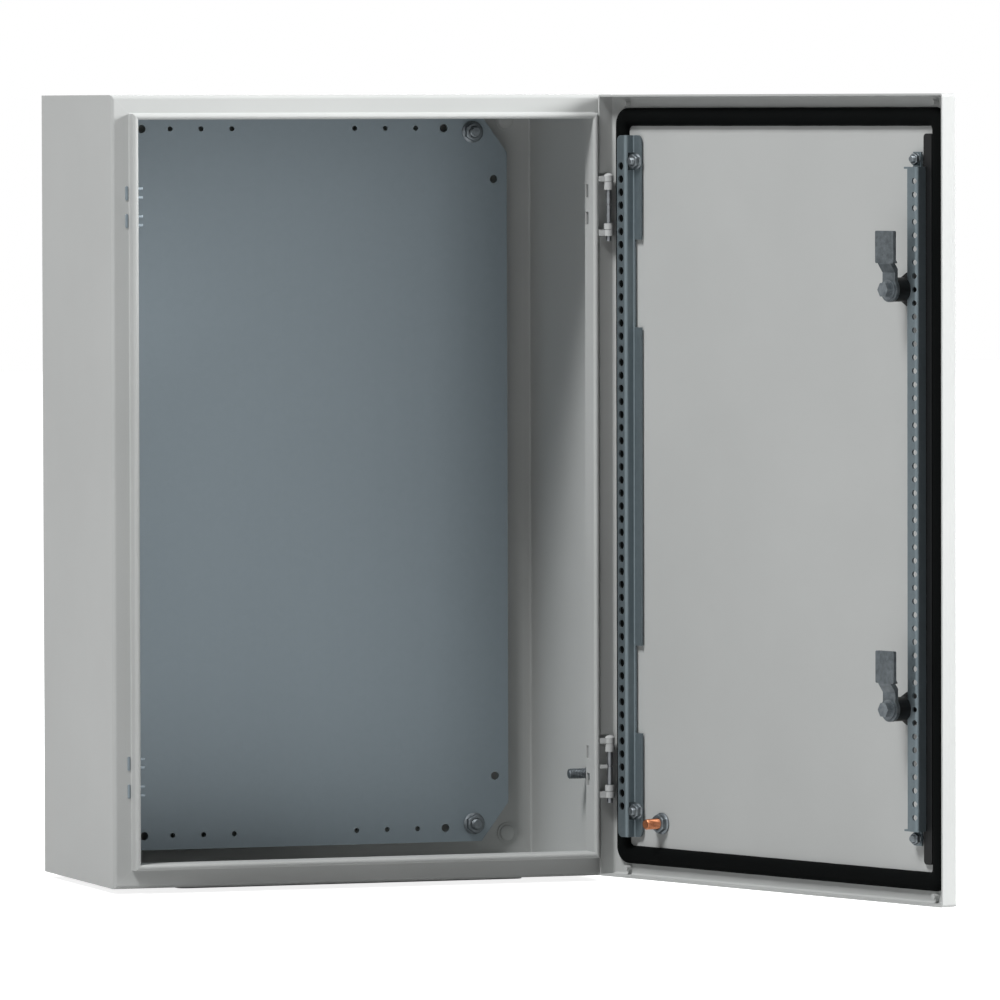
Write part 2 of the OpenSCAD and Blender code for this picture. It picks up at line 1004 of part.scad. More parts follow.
// Rounds the two corners of a rail's end, seen square to the door.
module rail_outline() {
    w = rail_out_x - rail_foot_x;
    translate([rail_foot_x + w / 2, 0])
        rounded(w, 2 * rail_half, rail_corner);
}

module hinge_side_rail() {
    top = skin_at - rail_height - 1;
    notch_depth = rail_foot - rail_sheet - rail_bend;
    window_h = rail_height - rail_rise - 2 * rail_sheet - rail_bend;
    holes = floor((rail_half - rail_block) / rail_pitch);
    flange_x = (rail_web_x + rail_out_x) / 2;
    color(GALVANISED)
        on_door()
            difference() {
                union() {
                    intersection() {
                        off_skin(rail_half)
                            rail_section();
                        forward(top, rail_height + 2)
                            rail_outline();
                    }
                    for (s = [-1, 1])
                        translate([
                            rail_foot_x,
                            -skin_at + rail_rise,
                            s * rail_stud_z - rail_nut_gap / 2 - 1
                        ])
                            cube([rail_tab_w, rail_sheet, rail_nut_gap + 2]);
                }
                for (s = [-1, 1]) {
                    translate([
                        rail_web_x - rail_sheet - rail_bend,
                        -skin_at + rail_rise + rail_sheet,
                        s * rail_stud_z - rail_nut_gap / 2
                    ])
                        cube([2 * (rail_sheet + rail_bend), window_h, rail_nut_gap]);
                    translate([
                        rail_foot_x - 1,
                        -skin_at,
                        s * (foot_notch_from + foot_notch_to) / 2 - notch_length / 2
                    ])
                        cube([notch_depth + 1, rail_rise + rail_sheet + 1, notch_length]);
                    facing_front(rail_stud_x, s * rail_stud_z, top)
                        cylinder(h = rail_height, r = M6_R + 0.3);
                }
                for (i = [-holes:holes - 1])
                    facing_front(flange_x, (i + 0.5) * rail_pitch, top)
                        cylinder(h = rail_height - rail_rise - rail_sheet, d = rail_hole_d);
            }
}

// L section of the lock-side rail.
module lock_rail_section() {
    web_foot = strip_t + 0.4;
    outer = rail_sheet + rail_bend;
    translate([lock_rail_x + rail_flange, lock_rail_height])
        rotate(180)
            strip([
                [rail_flange - outer, 90, rail_bend],
                [lock_rail_height - web_foot - outer, 0, 0]
            ], rail_sheet);
}

module lock_side_rail() {
    top = skin_at - lock_rail_height - 1;
    holes = floor((lock_rail_half - rail_pitch / 2) / rail_pitch);
    tab_x = lock_stud_x - lock_tab_w / 2;
    color(GALVANISED)
        on_door()
            difference() {
                union() {
                    off_skin(lock_rail_half)
                        lock_rail_section();
                    for (s = [0, 1])
                        mirror([0, 0, s]) {
                            translate([tab_x, -skin_at + rail_rise, lock_rail_half - rail_sheet])
                                cube([lock_tab_w, lock_rail_height - rail_rise, rail_sheet]);
                            translate([tab_x, -skin_at + rail_rise, lock_rail_half - rail_sheet])
                                cube([lock_tab_w, rail_sheet, lock_tab_h + rail_sheet]);
                        }
                }
                for (s = [-1, 1]) {
                    facing_front(lock_stud_x, s * lock_stud_z, top)
                        cylinder(h = lock_rail_height + 2, r = M5_R + 0.3);
                    facing_front(lock_x, s * lock_z, top)
                        cylinder(h = lock_rail_height, d = lock_body_d + 2 * notch_clear);
                }
                for (i = [-holes:holes - 1])
                    facing_front(lock_rail_x + lock_rail_hole_in, (i + 0.5) * rail_pitch, top)
                        cylinder(h = lock_rail_height / 2, d = lock_rail_hole_d);
            }
}

// Places of the rails' weld studs as [x, z, thread radius, nut's width across flats, its flange].
rail_stud_kinds = [
    [rail_stud_x, rail_stud_z, M6_R, M6_NUT_AF, M6_FLANGE_D],
    [lock_stud_x, lock_stud_z, M5_R, M5_NUT_AF, M5_FLANGE_D]
];
rail_stud_spots = [
    for (s = [-1, 1], kind = rail_stud_kinds)
        [kind[0], s * kind[1], kind[2], kind[3], kind[4]]
];

module rail_studs() {
    color(ZINC)
        on_door()
            for (spot = rail_stud_spots)
                facing_back(spot[0], spot[1], skin_at) {
                    cylinder(h = rail_rise, r = spot[2] + 1);
                    cylinder(h = rail_rise + rail_sheet + 2 * spot[2] + 1.5, r = spot[2]);
                }
}

module rail_nuts() {
    color(ZINC)
        on_door()
            for (spot = rail_stud_spots)
                facing_back(spot[0], spot[1], skin_at - rail_rise - rail_sheet)
                    flange_nut(spot[3], 1.6 * spot[2], spot[2] + THREAD_PLAY, spot[4], 1.1);
}

// ---------------------------------------------------------------- door earth stud

module door_earth_stud() {
    color(COPPER)
        on_door()
            facing_back(door_stud_x, door_stud_z, skin_at)
                cylinder(h = door_stud_l, r = M8_R);
}

module door_earth_nut() {
    color(ZINC)
        on_door()
            facing_back(door_stud_x, door_stud_z, skin_at)
                flange_nut(M8_NUT_AF, 5.5, M8_R + THREAD_PLAY, 16.5, 1.6);
}

// ---------------------------------------------------------------- locks

// Threaded body with its round head on the door's face.
module lock_body(mid_z) {
    color(BLACK)
        on_door()
            difference() {
                union() {
                    facing_front(lock_x, mid_z, lock_body_end)
                        cylinder(h = depth - lock_body_end, d = lock_body_d);
                    facing_front(lock_x, mid_z, depth)
                        cylinder(h = lock_head_t, r = lock_head_r);
                }
                facing_front(lock_x, mid_z, lock_body_end - 1)
                    cylinder(h = depth + lock_head_t - lock_body_end + 2, r = core_r + core_clear);
                facing_front(lock_x, mid_z, depth + lock_head_t - core_head_t - lock_gap)
                    cylinder(h = lock_head_t, r = core_head_r + lock_gap);
            }
}

module lock_nut(mid_z) {
    color(BLACK)
        on_door()
            facing_back(lock_x, mid_z, skin_at)
                difference() {
                    rotate(30)
                        hex_bar(lock_nut_af, lock_nut_h);
                    translate([0, 0, -1])
                        cylinder(h = lock_nut_h + 2, d = lock_body_d + 2 * THREAD_PLAY);
                }
}

// The core has a key recess with a two-winged post in front and a square tail for the cam.
module lock_core(mid_z) {
    front = depth + lock_head_t;
    recess_r = 4.6;
    recess_h = 9;
    color(ZINC)
        on_door()
            difference() {
                union() {
                    facing_front(lock_x, mid_z, hub_at)
                        cylinder(h = front - hub_at, r = core_r);
                    facing_front(lock_x, mid_z, front - core_head_t)
                        cylinder(h = core_head_t, r = core_head_r);
                    facing_back(lock_x, mid_z, hub_at + EPS)
                        translate([-tail_w / 2, -tail_w / 2, 0])
                            cube([tail_w, tail_w, cam_t + EPS]);
                }
                facing_front(lock_x, mid_z, front - recess_h)
                    difference() {
                        cylinder(h = recess_h + 1, r = recess_r);
                        cylinder(h = recess_h - 1, r = 2.4);
                        translate([-recess_r - 1, -1.5, 0])
                            cube([2 * recess_r + 2, 3, recess_h - 3]);
                    }
                facing_back(lock_x, mid_z, hub_at + 10)
                    cylinder(h = 10 + cam_t + 1, r = M6_R + bolt_play);
            }
}

// Outline of the cam, seen from the front with its tongue up.
module cam_outline() {
    circle(r = hub_r);
    translate([-neck_w / 2, 0])
        square([neck_w, reach - tongue_h / 2]);
    translate([0, reach - tongue_h / 2])
        rounded(tongue_w, tongue_h, 1.2);
}

// Side profile of the cam: X is the height above the axis, Y the distance behind the hub's face.
module cam_profile() {
    crank_from = reach - tongue_h - cam_step - 1;
    crank_to = reach - tongue_h + 1;
    lag = cam_t / 2;
    polygon([
        [-hub_r - 1, 0],
        [crank_from + lag, 0],
        [crank_to + lag, cam_step],
        [reach + 1, cam_step],
        [reach + 1, cam_step + cam_t],
        [crank_to - lag, cam_step + cam_t],
        [crank_from - lag, cam_t],
        [-hub_r - 1, cam_t]
    ]);
}

module cam(mid_z) {
    color(GALVANISED)
        on_door()
            translate([lock_x, -hub_at, mid_z])
                difference() {
                    intersection() {
                        forward(-cam_step - cam_t - 1, cam_step + cam_t + 2)
                            cam_outline();
                        rotate([0, -90, 0])
                            linear_extrude(2 * tongue_w, center = true)
                                cam_profile();
                    }
                    translate([-tail_w / 2 - THREAD_PLAY, -1, -tail_w / 2 - THREAD_PLAY])
                        cube([tail_w + 2 * THREAD_PLAY, cam_t + 2, tail_w + 2 * THREAD_PLAY]);
                }
}

module cam_washer(mid_z) {
    color(ZINC)
        on_door()
            facing_back(lock_x, mid_z, hub_at - cam_t)
                difference() {
                    cylinder(h = washer_t, r = washer_r);
                    translate([0, 0, -1])
                        cylinder(h = washer_t + 2, r = M6_R + 0.2);
                }
}

module cam_bolt(mid_z) {
    color(ZINC)
        on_door() {
            facing_back(lock_x, mid_z, hub_at + 8)
                cylinder(h = 8 + cam_t + washer_t, r = M6_R);
            facing_back(lock_x, mid_z, hub_at - cam_t - washer_t)
                hex_bar(M6_NUT_AF, bolt_head_h);
        }
}

module lock_body_upper() {
    lock_body(lock_z);
}

module lock_body_lower() {
    lock_body(-lock_z);
}

module lock_nut_upper() {
    lock_nut(lock_z);
}

module lock_nut_lower() {
    lock_nut(-lock_z);
}

module lock_core_upper() {
    lock_core(lock_z);
}

module lock_core_lower() {
    lock_core(-lock_z);
}

module cam_upper() {
    cam(lock_z);
}

module cam_lower() {
    cam(-lock_z);
}

module cam_washer_upper() {
    cam_washer(lock_z);
}

module cam_washer_lower() {
    cam_washer(-lock_z);
}

module cam_bolt_upper() {
    cam_bolt(lock_z);
}

module cam_bolt_lower() {
    cam_bolt(-lock_z);
}

left_wall();
right_wall();
top_wall();
bottom_wall();
back_wall();
plate_studs();
mounting_plate();
plate_nuts();
gland_plate();
gland_gasket();
gland_screws();
body_hinge_upper();
body_hinge_lower();
hinge_pin_upper();
hinge_pin_lower();
hinge_slot_plugs();
body_earth_stud();
door_shell();
door_gasket();
door_edge_strip();
hinge_side_rail();
lock_side_rail();
rail_studs();
rail_nuts();
door_hinge_upper();
door_hinge_lower();
door_earth_stud();
door_earth_nut();
lock_body_upper();
lock_body_lower();
lock_nut_upper();
lock_nut_lower();
lock_core_upper();
lock_core_lower();
cam_upper();
cam_lower();
cam_washer_upper();
cam_washer_lower();
cam_bolt_upper();
cam_bolt_lower();
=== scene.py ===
"""A steel wall enclosure with its door open: finishes, seal, threads, nuts, caps and plugs over the frame."""

import json
import logging
import math
from dataclasses import dataclass
from enum import Enum

import bmesh
import bpy
import numpy as np
from mathutils import Matrix, Vector


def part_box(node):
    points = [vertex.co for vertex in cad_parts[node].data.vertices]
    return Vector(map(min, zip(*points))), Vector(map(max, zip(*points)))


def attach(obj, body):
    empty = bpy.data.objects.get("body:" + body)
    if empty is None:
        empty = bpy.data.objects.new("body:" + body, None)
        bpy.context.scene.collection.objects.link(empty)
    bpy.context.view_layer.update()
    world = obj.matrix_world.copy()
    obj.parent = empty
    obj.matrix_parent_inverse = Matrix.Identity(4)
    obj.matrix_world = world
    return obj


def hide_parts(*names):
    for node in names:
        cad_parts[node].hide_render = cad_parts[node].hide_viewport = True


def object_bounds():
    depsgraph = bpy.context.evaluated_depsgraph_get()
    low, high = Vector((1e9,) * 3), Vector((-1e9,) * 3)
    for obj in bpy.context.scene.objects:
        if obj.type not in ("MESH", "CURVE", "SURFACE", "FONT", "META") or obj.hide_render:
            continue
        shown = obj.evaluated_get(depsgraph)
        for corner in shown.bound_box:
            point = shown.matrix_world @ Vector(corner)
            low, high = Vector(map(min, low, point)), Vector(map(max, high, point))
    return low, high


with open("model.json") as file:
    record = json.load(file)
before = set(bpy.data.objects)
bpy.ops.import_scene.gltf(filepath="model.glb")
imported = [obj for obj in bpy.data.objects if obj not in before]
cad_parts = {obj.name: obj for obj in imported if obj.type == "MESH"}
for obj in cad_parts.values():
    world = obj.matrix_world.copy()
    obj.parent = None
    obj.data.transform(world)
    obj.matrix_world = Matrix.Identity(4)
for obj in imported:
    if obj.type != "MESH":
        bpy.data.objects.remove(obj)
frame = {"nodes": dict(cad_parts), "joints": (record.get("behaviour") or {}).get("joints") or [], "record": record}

CAD_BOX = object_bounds()
LOG = logging.getLogger("enclosure")

MM = 0.001
MERGE_M = 1e-7
CREASE_DEG = 35
EDGE_SAMPLES = 4

# Detail of a noise: broad clouds and streaks, and fine grain.
BROAD = 3.0
FINE = 2.0

Point = tuple[float, float, float]
Colour = tuple[float, float, float, float]
Tree = bpy.types.NodeTree
Node = bpy.types.Node
Socket = bpy.types.NodeSocket

FRONT: Point = (0.0, -1.0, 0.0)
BACK: Point = (0.0, 1.0, 0.0)
LEFT: Point = (-1.0, 0.0, 0.0)
RIGHT: Point = (1.0, 0.0, 0.0)
WHITE: Colour = (1.0, 1.0, 1.0, 1.0)


# ---------------------------------------------------------------- small tools


def linear(hex_colour: str) -> Colour:
    """Turns an sRGB hex colour into linear values.

    Args:
        hex_colour: six hex digits with a leading #.

    Returns:
        Red, green, blue and an alpha of 1, all linear.
    """
    srgb = np.array([int(hex_colour[i : i + 2], 16) / 255 for i in (1, 3, 5)])
    rgb = np.where(srgb <= 0.04045, srgb / 12.92, ((srgb + 0.055) / 1.055) ** 2.4)
    return (*rgb.tolist(), 1.0)


def per_metre(size_mm: float) -> float:
    """Texture scale at which one feature of a noise or cell pattern is size_mm across."""
    return 1.0 / (size_mm * MM)


def metres(x: float, y: float, z: float) -> Point:
    """A point given in millimetres, in metres."""
    return (x * MM, y * MM, z * MM)


def four_corners(x: float, z: float) -> list[tuple[float, float]]:
    """The four places at plus and minus x and z."""
    return [(sx * x, sz * z) for sx in (-1, 1) for sz in (-1, 1)]


def add(tree: Tree, kind: str, feeds: dict | None = None, **settings: object) -> Node:
    """Adds one shader node.

    Args:
        tree: the material's or world's node tree.
        kind: the node's type without its ShaderNode prefix.
        feeds: input name or number to a value, or to an output socket to link from.
        **settings: the node's own properties.

    Returns:
        The new node.
    """
    node = tree.nodes.new("ShaderNode" + kind)
    for key, value in settings.items():
        setattr(node, key, value)
    for name, value in (feeds or {}).items():
        socket = node.inputs[name]
        if isinstance(value, Socket):
            tree.links.new(value, socket)
        else:
            socket.default_value = value
    return node


def new_piece(name: str, verts: np.ndarray, faces: np.ndarray, smooth: bool = True) -> bpy.types.Object:
    """Makes a mesh object from arrays, in place, with its object at the origin and its poles closed.

    Args:
        name: the piece's name.
        verts: N x 3 points in metres.
        faces: M x 4 corner numbers, counter-clockwise from outside.
        smooth: whether the faces shade smoothly, with creases past CREASE_DEG kept sharp.

    Returns:
        The linked object.
    """
    mesh = bpy.data.meshes.new(name)
    mesh.from_pydata(verts.tolist(), [], faces.tolist())
    work = bmesh.new()
    work.from_mesh(mesh)
    bmesh.ops.remove_doubles(work, verts=work.verts, dist=MERGE_M)
    work.to_mesh(mesh)
    work.free()
    mesh.validate()
    mesh.polygons.foreach_set("use_smooth", np.full(len(mesh.polygons), smooth))
    if smooth:
        mesh.set_sharp_from_angle(angle=math.radians(CREASE_DEG))
    mesh.update()
    piece = bpy.data.objects.new(name, mesh)
    bpy.context.scene.collection.objects.link(piece)
    return piece


def grid_faces(rows: int, cols: int, wrap_rows: bool, wrap_cols: bool) -> np.ndarray:
    """Quads of a rows x cols grid of points, joined round where a direction wraps.

    Args:
        rows: points along the first parameter.
        cols: points along the second parameter.
        wrap_rows: whether the last row joins the first.
        wrap_cols: whether the last column joins the first.

    Returns:
        M x 4 corner numbers.
    """
    r = np.arange(rows if wrap_rows else rows - 1)[:, None]
    c = np.arange(cols if wrap_cols else cols - 1)[None, :]
    r1, c1 = (r + 1) % rows, (c + 1) % cols
    quads = np.stack([r * cols + c, r * cols + c1, r1 * cols + c1, r1 * cols + c], axis=-1)
    return quads.reshape(-1, 4)


@dataclass(frozen=True)
class Surface:
    """Points in metres and the quads between them, made standing on z = 0 or already in place."""

    points: np.ndarray
    faces: np.ndarray

    def aimed(self, at: Point, along: Point) -> "Surface":
        """Stands the surface at a point with its Z axis along a direction.

        Args:
            at: where its base goes, in metres.
            along: unit vector of its axis.

        Returns:
            The placed copy.
        """
        turn = np.array(Vector((0.0, 0.0, 1.0)).rotation_difference(Vector(along)).to_matrix())
        return Surface(self.points @ turn.T + np.array(at), self.faces)


def lathe(radius: np.ndarray, height: np.ndarray, closed: bool) -> Surface:
    """Carries a section round the Z axis: x = r cos a, y = r sin a, z = h, all in millimetres.

    Args:
        radius: rows x columns distances from the axis; a column is one direction.
        height: one height per row.
        closed: whether the last row joins the first, as round a ring.

    Returns:
        The surface. Rows that climb on the outside face outwards.
    """
    rows, sides = radius.shape
    angle = np.linspace(0, 2 * math.pi, sides, endpoint=False)
    heights = np.repeat(height[:, None], sides, axis=1)
    points = np.stack([radius * np.cos(angle), radius * np.sin(angle), heights], axis=-1)
    return Surface(points.reshape(-1, 3) * MM, grid_faces(rows, sides, closed, True))


def disc(radius: float, height: float, round_off: float = 0.3, sides: int = 48) -> Surface:
    """A round pad on z = 0 with a softened upper edge.

    Args:
        radius: its radius.
        height: its height.
        round_off: how far the edge is taken back.
        sides: points round it.

    Returns:
        The pad, closed.
    """
    section = [(0, 0), (radius, 0), (radius, height - round_off), (radius - round_off, height), (0, height)]
    r, h = np.array(section, dtype=float).T
    return lathe(np.repeat(r[:, None], sides, axis=1), h, False)


def joined(parts: list[Surface]) -> Surface:
    """Puts several surfaces into one set of points and quads.

    Args:
        parts: the surfaces.

    Returns:
        One surface with all of them.
    """
    starts = np.cumsum([0] + [len(p.points) for p in parts[:-1]])
    return Surface(
        np.concatenate([p.points for p in parts]),
        np.concatenate([p.faces + s for p, s in zip(parts, starts)]),
    )


def rounded_outline(size: Point, in_corner: int, in_straight: int) -> np.ndarray:
    """A rectangle with quarter circles at its corners, with the same number of points whatever its size.

    Args:
        size: width, height and corner radius.
        in_corner: points round each corner.
        in_straight: points between two corners.

    Returns:
        N x 2 points, counter-clockwise from the upper right.
    """
    w, h, r = size
    arcs = []
    for k, (sx, sy) in enumerate(((1, 1), (-1, 1), (-1, -1), (1, -1))):
        a = np.linspace(k * math.pi / 2, (k + 1) * math.pi / 2, in_corner)
        middle = np.array([sx, sy]) * (w / 2 - r, h / 2 - r)
        arcs.append(middle + r * np.stack([np.cos(a), np.sin(a)], axis=-1))
    t = np.linspace(0, 1, in_straight + 2)[1:-1, None]
    path = []
    for arc, following in zip(arcs, arcs[1:] + arcs[:1]):
        path += [arc, arc[-1] + t * (following[0] - arc[-1])]
    return np.concatenate(path)


class DoorPlace:
    """Carries points from the closed door to where the door stands at rest, turned about the hinge axis."""

    def __init__(self) -> None:
        """Reads the hinge's axis and its closing travel from the frame."""
        hinge = next(j for j in frame["joints"] if j["name"] == "door_hinge")
        self.axis = np.array(hinge["pos_m"])
        self.angle = math.radians(-min(hinge["range_deg"]))

    def __call__(self, points: np.ndarray) -> np.ndarray:
        """Turns closed-door points by the opening angle.

        Args:
            points: N x 3 points of the closed door, in metres.

        Returns:
            The same points on the door as it stands open.
        """
        c, s = math.cos(self.angle), math.sin(self.angle)
        turn = np.array([[c, -s, 0.0], [s, c, 0.0], [0.0, 0.0, 1.0]])
        return (points - self.axis) @ turn.T + self.axis


# ------------------------------------------------------------------- finishes


@dataclass(frozen=True)
class Finish:
    """What every finish shares: a name, how rough it is, and how deep and strong its relief is."""

    name: str
    rough: tuple[float, float] = (0.4, 0.5)
    relief_mm: float = 0.01
    relief_strength: float = 0.5

    def build(self) -> bpy.types.Material:
        """Makes the finish's material, in each finish's own way."""
        raise NotImplementedError

    def start(self) -> tuple[bpy.types.Material, Tree, Node, Socket]:
        """Makes the material with its shader and object coordinates.

        Returns:
            The material, its tree, the principled shader and the coordinates' socket.
        """
        material = bpy.data.materials.new(self.name)
        material.use_nodes = True
        tree = material.node_tree
        shader = tree.nodes["Principled BSDF"]
        coords = add(tree, "TexCoord").outputs["Object"]
        return material, tree, shader, coords

    def edges(self, tree: Tree, width_mm: float, gain: float) -> Socket:
        """Mask that is 1 along outside and inside edges and 0 on flats.

        It is one minus the dot product of the true normal and the normal rounded over width_mm.

        Args:
            tree: the material's tree.
            width_mm: reach of the edge.
            gain: how quickly the mask fills.

        Returns:
            The mask's socket.
        """
        rounded = add(tree, "Bevel", {"Radius": width_mm * MM}, samples=EDGE_SAMPLES).outputs[0]
        true = add(tree, "NewGeometry").outputs["Normal"]
        dot = add(tree, "VectorMath", {0: rounded, 1: true}, operation="DOT_PRODUCT").outputs["Value"]
        away = add(tree, "Math", {0: 1.0, 1: dot}, operation="SUBTRACT").outputs[0]
        return add(tree, "Math", {0: away, 1: gain}, operation="MULTIPLY", use_clamp=True).outputs[0]

    def link(self, tree: Tree, shader: Node, colour: Socket, dull: Socket, relief: Socket) -> None:
        """Links the colour, the roughness and the bump to the shader.

        Args:
            tree: the material's tree.
            shader: its principled shader.
            colour: the colour.
            dull: 0 to 1 between the two ends of the roughness.
            relief: 0 to 1 over the depth of the relief.
        """
        span = {"Value": dull, "To Min": self.rough[0], "To Max": self.rough[1]}
        height = {"Height": relief, "Distance": self.relief_mm * MM, "Strength": self.relief_strength}
        tree.links.new(colour, shader.inputs["Base Color"])
        tree.links.new(add(tree, "MapRange", span).outputs[0], shader.inputs["Roughness"])
        tree.links.new(add(tree, "Bump", height).outputs[0], shader.inputs["Normal"])


@dataclass(frozen=True)
class PowderCoat(Finish):
    """Polyester powder coat, sprayed dry and baked: a satin light grey with a fine orange peel.

    The film draws thin along cut and folded edges; the lighter colour there is a painted highlight.
    """

    shade: str = "#B6B8B7"
    shade_far: str = "#BABCBB"
    # edge, edge_mm, edge_gain and edge_share: the painted highlight along cut and folded edges
    edge: str = "#CCCECD"
    edge_mm: float = 1.2
    edge_gain: float = 1.6
    edge_share: float = 0.35
    cloud_mm: float = 160.0
    cloud_span: tuple[float, float] = (0.35, 0.65)
    peel_mm: float = 1.6  # the real peel is about 0.8 mm; drawn coarser so that it shows
    rough: tuple[float, float] = (0.42, 0.56)
    relief_mm: float = 0.010
    relief_strength: float = 0.7
    ior: float = 1.5
    sheen: float = 0.15

    def build(self) -> bpy.types.Material:
        """Makes the powder coat's material.

        Returns:
            The material.
        """
        material, tree, shader, coords = self.start()
        cloud = add(tree, "TexNoise", {"Vector": coords, "Scale": per_metre(self.cloud_mm), "Detail": BROAD})
        peel = add(tree, "TexNoise", {"Vector": coords, "Scale": per_metre(self.peel_mm), "Detail": FINE})
        low, high = self.cloud_span
        even = add(tree, "MapRange", {"Value": cloud.outputs["Fac"], "From Min": low, "From Max": high})
        shades = {0: even.outputs[0], 6: linear(self.shade), 7: linear(self.shade_far)}
        base = add(tree, "Mix", shades, data_type="RGBA").outputs[2]
        # painted highlight: the colour is mixed towards the lighter edge colour along edges
        edge_wear_and_highlight = self.edges(tree, self.edge_mm, self.edge_gain)
        mask = add(tree, "Math", {0: edge_wear_and_highlight, 1: self.edge_share}, operation="MULTIPLY").outputs[0]
        thin = add(tree, "Mix", {0: mask, 6: base, 7: linear(self.edge)}, data_type="RGBA").outputs[2]
        self.link(tree, shader, thin, peel.outputs["Fac"], peel.outputs["Fac"])
        shader.inputs["IOR"].default_value = self.ior
        shader.inputs["Specular IOR Level"].default_value = self.sheen
        return material


@dataclass(frozen=True)
class GalvanisedSheet(Finish):
    """Hot-dip galvanised steel sheet, skin-passed: a matt blue-grey metal with a faint crystal pattern.

    The rolls leave long faint streaks, and the sheared edges are brighter than the faces.
    """

    dark: str = "#7C878D"
    light: str = "#848F96"
    edge: str = "#98A1A6"
    edge_mm: float = 0.7
    edge_gain: float = 1.2
    spangle_mm: float = 5.0
    spangle_share: float = 0.35
    streak_mm: float = 9.0
    draw: Point = (1.0, 1.0, 0.02)
    cloud_mm: float = 110.0
    cloud_share: float = 0.35
    grain_mm: float = 0.9
    rough: tuple[float, float] = (0.46, 0.56)
    relief_mm: float = 0.006
    relief_strength: float = 0.5
    metal: float = 0.7

    def build(self) -> bpy.types.Material:
        """Makes the galvanised sheet's material.

        Returns:
            The material.
        """
        material, tree, shader, coords = self.start()
        crystal = add(tree, "TexVoronoi", {"Vector": coords, "Scale": per_metre(self.spangle_mm)})
        cell = add(tree, "SeparateColor", {0: crystal.outputs["Color"]}).outputs[0]
        drawn = add(tree, "Mapping", {"Vector": coords, "Scale": self.draw}).outputs[0]
        streak = add(tree, "TexNoise", {"Vector": drawn, "Scale": per_metre(self.streak_mm), "Detail": BROAD})
        cloud = add(tree, "TexNoise", {"Vector": coords, "Scale": per_metre(self.cloud_mm), "Detail": FINE})
        spots = add(tree, "Mix", {0: self.spangle_share, 2: streak.outputs["Fac"], 3: cell}).outputs[0]
        mixed = add(tree, "Mix", {0: self.cloud_share, 2: spots, 3: cloud.outputs["Fac"]}).outputs[0]
        tints = {0: mixed, 6: linear(self.dark), 7: linear(self.light)}
        base = add(tree, "Mix", tints, data_type="RGBA").outputs[2]
        edge_wear_and_highlight = self.edges(tree, self.edge_mm, self.edge_gain)
        bright = add(tree, "Mix", {0: edge_wear_and_highlight, 6: base, 7: linear(self.edge)}, data_type="RGBA").outputs[2]
        grain = add(tree, "TexNoise", {"Vector": coords, "Scale": per_metre(self.grain_mm), "Detail": FINE})
        self.link(tree, shader, bright, mixed, grain.outputs["Fac"])
        shader.inputs["Metallic"].default_value = self.metal
        return material


@dataclass(frozen=True)
class PlatedSteel(Finish):
    """Turned, headed or pressed steel, plated in a barrel: paler at the edges, with tumbled dull patches."""

    dark: str = "#5C6266"
    light: str = "#7E8488"
    edge: str = "#9CA1A4"
    edge_mm: float = 0.5
    edge_gain: float = 1.6
    patch_mm: float = 4.0
    patch_detail: float = 4.0
    patch_span: tuple[float, float] = (0.32, 0.68)
    grain_mm: float = 0.6
    grain_share: float = 0.3
    draw: Point = (1.0, 1.0, 1.0)
    rough: tuple[float, float] = (0.44, 0.60)
    relief_mm: float = 0.012
    relief_strength: float = 0.6
    metal: float = 1.0

    def build(self) -> bpy.types.Material:
        """Makes the plated steel's material.

        Returns:
            The material.
        """
        material, tree, shader, coords = self.start()
        patches = {"Vector": coords, "Scale": per_metre(self.patch_mm), "Detail": self.patch_detail}
        patch = add(tree, "TexNoise", patches).outputs["Fac"]
        drawn = add(tree, "Mapping", {"Vector": coords, "Scale": self.draw}).outputs[0]
        grains = {"Vector": drawn, "Scale": per_metre(self.grain_mm), "Detail": FINE}
        grain = add(tree, "TexNoise", grains).outputs["Fac"]
        mixed = add(tree, "Mix", {0: self.grain_share, 2: patch, 3: grain}).outputs[0]
        low, high = self.patch_span
        even = add(tree, "MapRange", {"Value": mixed, "From Min": low, "From Max": high}).outputs[0]
        tints = {0: even, 6: linear(self.dark), 7: linear(self.light)}
        base = add(tree, "Mix", tints, data_type="RGBA").outputs[2]
        edge_wear_and_highlight = self.edges(tree, self.edge_mm, self.edge_gain)
        bright = add(tree, "Mix", {0: edge_wear_and_highlight, 6: base, 7: linear(self.edge)}, data_type="RGBA").outputs[2]
        self.link(tree, shader, bright, mixed, grain)
        shader.inputs["Metallic"].default_value = self.metal
        return material


@dataclass(frozen=True)
class SkinnedFoam(Finish):
    """Polyurethane foam poured in place: a soft black with a satin skin, pocked by small bubbles."""

    dark: str = "#030404"
    light: str = "#090B0B"
    pore_mm: float = 1.1
    wave_mm: float = 22.0
    wave_share: float = 0.5
    rough: tuple[float, float] = (0.70, 0.85)
    relief_mm: float = 0.12
    relief_strength: float = 0.5
    ior: float = 1.45
    sheen: float = 0.05  # the skin is open-pored, so little of it mirrors

    def build(self) -> bpy.types.Material:
        """Makes the foam's material.

        Returns:
            The material.
        """
        material, tree, shader, coords = self.start()
        cells = {"Vector": coords, "Scale": per_metre(self.pore_mm)}
        pores = add(tree, "TexVoronoi", cells).outputs["Distance"]
        waves = {"Vector": coords, "Scale": per_metre(self.wave_mm), "Detail": BROAD}
        wave = add(tree, "TexNoise", waves).outputs["Fac"]
        tints = {0: wave, 6: linear(self.dark), 7: linear(self.light)}
        base = add(tree, "Mix", tints, data_type="RGBA").outputs[2]
        relief = add(tree, "Mix", {0: self.wave_share, 2: pores, 3: wave}).outputs[0]
        self.link(tree, shader, base, wave, relief)
        shader.inputs["IOR"].default_value = self.ior
        shader.inputs["Specular IOR Level"].default_value = self.sheen
        return material


